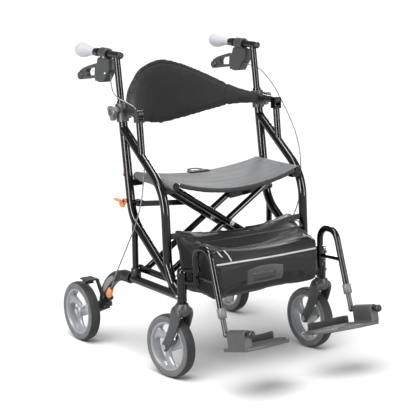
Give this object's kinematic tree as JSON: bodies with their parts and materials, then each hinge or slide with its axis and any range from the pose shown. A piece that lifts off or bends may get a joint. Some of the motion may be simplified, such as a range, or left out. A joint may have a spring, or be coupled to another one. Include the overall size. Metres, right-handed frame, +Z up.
{
  "type": "rollator transport chair",
  "caption": "Folding wheeled walker that doubles as a transport chair: sling seat, flip-over padded backrest, loop-brake handles, under-seat bag and swing-away footrests.",
  "frame": {"origin": "on the floor, midway between the rearmost and foremost points and between the two sides", "axes": "+Z up, the chair faces -Y, +X is the sitter's left"},
  "size_m": [0.6548, 0.995, 0.9978],
  "materials": {
    "frame_black": "gloss black paint",
    "black_plastic": "moulded black",
    "bright_steel": "plated",
    "tyre": "dark grey ribbed rubber",
    "rim_grey": "silver grey moulded",
    "grip_pale": "pale grey soft grip",
    "dark_plastic": "moulded charcoal",
    "grey_plastic": "moulded grey",
    "orange_plastic": "moulded orange",
    "cable_grey": "grey sheathed",
    "black_webbing": "woven webbing",
    "seat_cloth": "grey woven nylon",
    "pad_cloth": "charcoal padded cloth",
    "bag_nylon": "black nylon"
  },
  "bodies": {
    "right_frame": {"right_side_frame": "frame_black", "right_rear_arm": "black_plastic", "right_rear_axle": "bright_steel", "right_height_clamp": "dark_plastic", "right_cable_adjuster": "orange_plastic", "right_brake_cable": "cable_grey", "storage_bag": "bag_nylon"},
    "brace_1_half": {"brace_1": "frame_black", "brace_bolts": "bright_steel"},
    "brace_2_half": {"brace_2": "frame_black"},
    "left_frame": {"left_side_frame": "frame_black", "left_rear_arm": "black_plastic", "left_rear_axle": "bright_steel", "left_height_clamp": "dark_plastic", "left_cable_adjuster": "orange_plastic", "left_brake_cable": "cable_grey"},
    "seat": {"seat_sling": "seat_cloth", "pull_strap": "black_webbing"},
    "right_rear_wheel": {"right_rear_tyre": "tyre", "right_rear_rim": "rim_grey", "right_rear_bearings": "bright_steel"},
    "right_caster": {"right_caster_fork": "dark_plastic", "right_front_axle": "bright_steel"},
    "right_front_wheel": {"right_front_tyre": "tyre", "right_front_rim": "rim_grey"},
    "right_handle": {"right_handle_post": "frame_black", "right_grip": "grip_pale", "right_brake_housing": "dark_plastic"},
    "right_lever": {"right_brake_lever": "dark_plastic"},
    "right_shoe": {"right_brake_shoe_arm": "frame_black"},
    "right_knob": {"right_clamp_knob": "grey_plastic"},
    "right_arm": {"right_backrest_arm": "black_plastic", "backrest_pad": "pad_cloth"},
    "right_hanger": {"right_footrest_hanger": "frame_black"},
    "right_leg": {"right_footrest_leg": "bright_steel"},
    "right_plate": {"right_footplate": "dark_plastic", "right_heel_strap": "black_webbing"},
    "right_ball": {"right_ball_knob": "black_plastic"},
    "right_link": {"right_stabilizer_link": "frame_black"},
    "left_rear_wheel": {"left_rear_tyre": "tyre", "left_rear_rim": "rim_grey", "left_rear_bearings": "bright_steel"},
    "left_caster": {"left_caster_fork": "dark_plastic", "left_front_axle": "bright_steel"},
    "left_front_wheel": {"left_front_tyre": "tyre", "left_front_rim": "rim_grey"},
    "left_handle": {"left_handle_post": "frame_black", "left_grip": "grip_pale", "left_brake_housing": "dark_plastic"},
    "left_lever": {"left_brake_lever": "dark_plastic"},
    "left_shoe": {"left_brake_shoe_arm": "frame_black"},
    "left_knob": {"left_clamp_knob": "grey_plastic"},
    "left_arm": {"left_backrest_arm": "black_plastic"},
    "left_hanger": {"left_footrest_hanger": "frame_black"},
    "left_leg": {"left_footrest_leg": "bright_steel"},
    "left_plate": {"left_footplate": "dark_plastic", "left_heel_strap": "black_webbing"},
    "left_ball": {"left_ball_knob": "black_plastic"},
    "left_link": {"left_stabilizer_link": "frame_black"},
    "hook": {"fold_hook": "orange_plastic"}
  },
  "joints": [
    {"name": "fold", "type": "hinge", "parent": "right_frame", "child": "brace_1_half", "pos_m": [-0.234, 0.02255, 0.29], "axis": [0, -1, 0], "range_deg": [0, 44], "deforming": ["seat_sling", "pull_strap", "backrest_pad", "storage_bag"]},
    {"name": "brace_2_turn", "type": "hinge", "parent": "brace_1_half", "child": "brace_2_half", "pos_m": [0, 0.02255, 0.4405], "axis": [0, -1, 0], "range_deg": [-88, 0]},
    {"name": "left_frame_turn", "type": "hinge", "parent": "brace_2_half", "child": "left_frame", "pos_m": [0.234, 0.02255, 0.29], "axis": [0, -1, 0], "range_deg": [0, 44]},
    {"name": "seat_turn", "type": "hinge", "parent": "brace_1_half", "child": "seat", "pos_m": [0.234, 0.02255, 0.591], "axis": [0, -1, 0], "range_deg": [-44, 0]},
    {"name": "right_rear_wheel_spin", "type": "hinge", "parent": "right_frame", "child": "right_rear_wheel", "pos_m": [-0.305, 0.39755, 0.1], "axis": [1, 0, 0], "continuous": true},
    {"name": "right_caster_swivel", "type": "hinge", "parent": "right_frame", "child": "right_caster", "pos_m": [-0.27, -0.16845, 0.248], "axis": [0, 0, 1], "continuous": true},
    {"name": "right_front_wheel_spin", "type": "hinge", "parent": "right_caster", "child": "right_front_wheel", "pos_m": [-0.27765, -0.11398, 0.1], "axis": [0.9903, 0.1392, 0], "continuous": true},
    {"name": "right_handle_slide", "type": "slide", "parent": "right_frame", "child": "right_handle", "axis": [0, 0.1546, 0.988], "range_m": [-0.1, 0.015], "deforming": ["right_brake_cable"]},
    {"name": "right_lever_squeeze", "type": "hinge", "parent": "right_handle", "child": "right_lever", "pos_m": [-0.265, 0.28755, 0.905], "axis": [1, 0, 0], "range_deg": [0, 15], "stiffness_Nm_per_rad": 3, "springref_deg": -2.86},
    {"name": "right_shoe_turn", "type": "hinge", "parent": "right_frame", "child": "right_shoe", "pos_m": [-0.2815, 0.29255, 0.165], "axis": [1, 0, 0], "range_deg": [-7.95, 0]},
    {"name": "right_knob_turn", "type": "hinge", "parent": "right_frame", "child": "right_knob", "pos_m": [-0.291, 0.17239, 0.797], "axis": [-1, 0, 0], "continuous": true},
    {"name": "backrest_flip", "type": "hinge", "parent": "right_frame", "child": "right_arm", "pos_m": [-0.265, 0.06955, 0.8], "axis": [1, 0, 0], "range_deg": [0, 180]},
    {"name": "right_hanger_swing", "type": "hinge", "parent": "right_frame", "child": "right_hanger", "pos_m": [-0.24, -0.19945, 0.33], "axis": [0, 0, -1], "range_deg": [0, 90]},
    {"name": "right_leg_slide", "type": "slide", "parent": "right_hanger", "child": "right_leg", "axis": [0, -0.3222, -0.9467], "range_m": [0, 0.06]},
    {"name": "right_plate_flip", "type": "hinge", "parent": "right_leg", "child": "right_plate", "pos_m": [-0.24, -0.35845, 0.18599], "axis": [0, -0.9703, 0.2419], "range_deg": [0, 100], "deforming": ["right_heel_strap"]},
    {"name": "right_ball_pull", "type": "slide", "parent": "right_leg", "child": "right_ball", "axis": [0, -0.9703, 0.2419], "range_m": [0, 0.006], "stiffness_N_per_m": 1500, "springref_m": -0.004},
    {"name": "right_link_turn", "type": "hinge", "parent": "right_frame", "child": "right_link", "pos_m": [-0.25, 0.08555, 0.512], "axis": [0, -1, 0], "range_deg": [0, 76]},
    {"name": "left_rear_wheel_spin", "type": "hinge", "parent": "left_frame", "child": "left_rear_wheel", "pos_m": [0.305, 0.39755, 0.1], "axis": [1, 0, 0], "continuous": true},
    {"name": "left_caster_swivel", "type": "hinge", "parent": "left_frame", "child": "left_caster", "pos_m": [0.27, -0.16845, 0.248], "axis": [0, 0, 1], "continuous": true},
    {"name": "left_front_wheel_spin", "type": "hinge", "parent": "left_caster", "child": "left_front_wheel", "pos_m": [0.26712, -0.11352, 0.1], "axis": [0.9986, 0.0523, 0], "continuous": true},
    {"name": "left_handle_slide", "type": "slide", "parent": "left_frame", "child": "left_handle", "axis": [0, 0.1546, 0.988], "range_m": [-0.1, 0.015], "deforming": ["left_brake_cable"]},
    {"name": "left_lever_squeeze", "type": "hinge", "parent": "left_handle", "child": "left_lever", "pos_m": [0.265, 0.28755, 0.905], "axis": [1, 0, 0], "range_deg": [0, 15], "stiffness_Nm_per_rad": 3, "springref_deg": -2.86},
    {"name": "left_shoe_turn", "type": "hinge", "parent": "left_frame", "child": "left_shoe", "pos_m": [0.2815, 0.29255, 0.165], "axis": [1, 0, 0], "range_deg": [-7.95, 0]},
    {"name": "left_knob_turn", "type": "hinge", "parent": "left_frame", "child": "left_knob", "pos_m": [0.291, 0.17239, 0.797], "axis": [1, 0, 0], "continuous": true},
    {"name": "left_arm_flip", "type": "hinge", "parent": "left_frame", "child": "left_arm", "pos_m": [0.265, 0.06955, 0.8], "axis": [1, 0, 0], "range_deg": [0, 180]},
    {"name": "left_hanger_swing", "type": "hinge", "parent": "left_frame", "child": "left_hanger", "pos_m": [0.24, -0.19945, 0.33], "axis": [0, 0, 1], "range_deg": [0, 90]},
    {"name": "left_leg_slide", "type": "slide", "parent": "left_hanger", "child": "left_leg", "axis": [0, -0.3222, -0.9467], "range_m": [0, 0.06]},
    {"name": "left_plate_flip", "type": "hinge", "parent": "left_leg", "child": "left_plate", "pos_m": [0.24, -0.35845, 0.18599], "axis": [0, 0.9703, -0.2419], "range_deg": [0, 100], "deforming": ["left_heel_strap"]},
    {"name": "left_ball_pull", "type": "slide", "parent": "left_leg", "child": "left_ball", "axis": [0, -0.9703, 0.2419], "range_m": [0, 0.006], "stiffness_N_per_m": 1500, "springref_m": -0.004},
    {"name": "left_link_turn", "type": "hinge", "parent": "left_frame", "child": "left_link", "pos_m": [0.25, 0.08555, 0.512], "axis": [0, 1, 0], "range_deg": [0, 76]},
    {"name": "hook_swing", "type": "hinge", "parent": "right_frame", "child": "hook", "pos_m": [-0.285, 0.13555, 0.517], "axis": [1, 0, 0], "range_deg": [0, 60]}
  ],
  "couplings": [
    {"joint": "brace_2_turn", "follows": "fold", "ratio": -2},
    {"joint": "left_frame_turn", "follows": "fold", "ratio": 1},
    {"joint": "seat_turn", "follows": "fold", "ratio": -1},
    {"joint": "right_shoe_turn", "follows": "right_lever_squeeze", "ratio": -0.53},
    {"joint": "right_plate_flip", "follows": "fold", "ratio": 2.2727},
    {"joint": "right_link_turn", "follows": "fold", "ratio": 1.72},
    {"joint": "left_shoe_turn", "follows": "left_lever_squeeze", "ratio": -0.53},
    {"joint": "left_arm_flip", "follows": "backrest_flip", "ratio": 1},
    {"joint": "left_plate_flip", "follows": "fold", "ratio": 2.2727},
    {"joint": "left_link_turn", "follows": "fold", "ratio": 1.72}
  ]
}
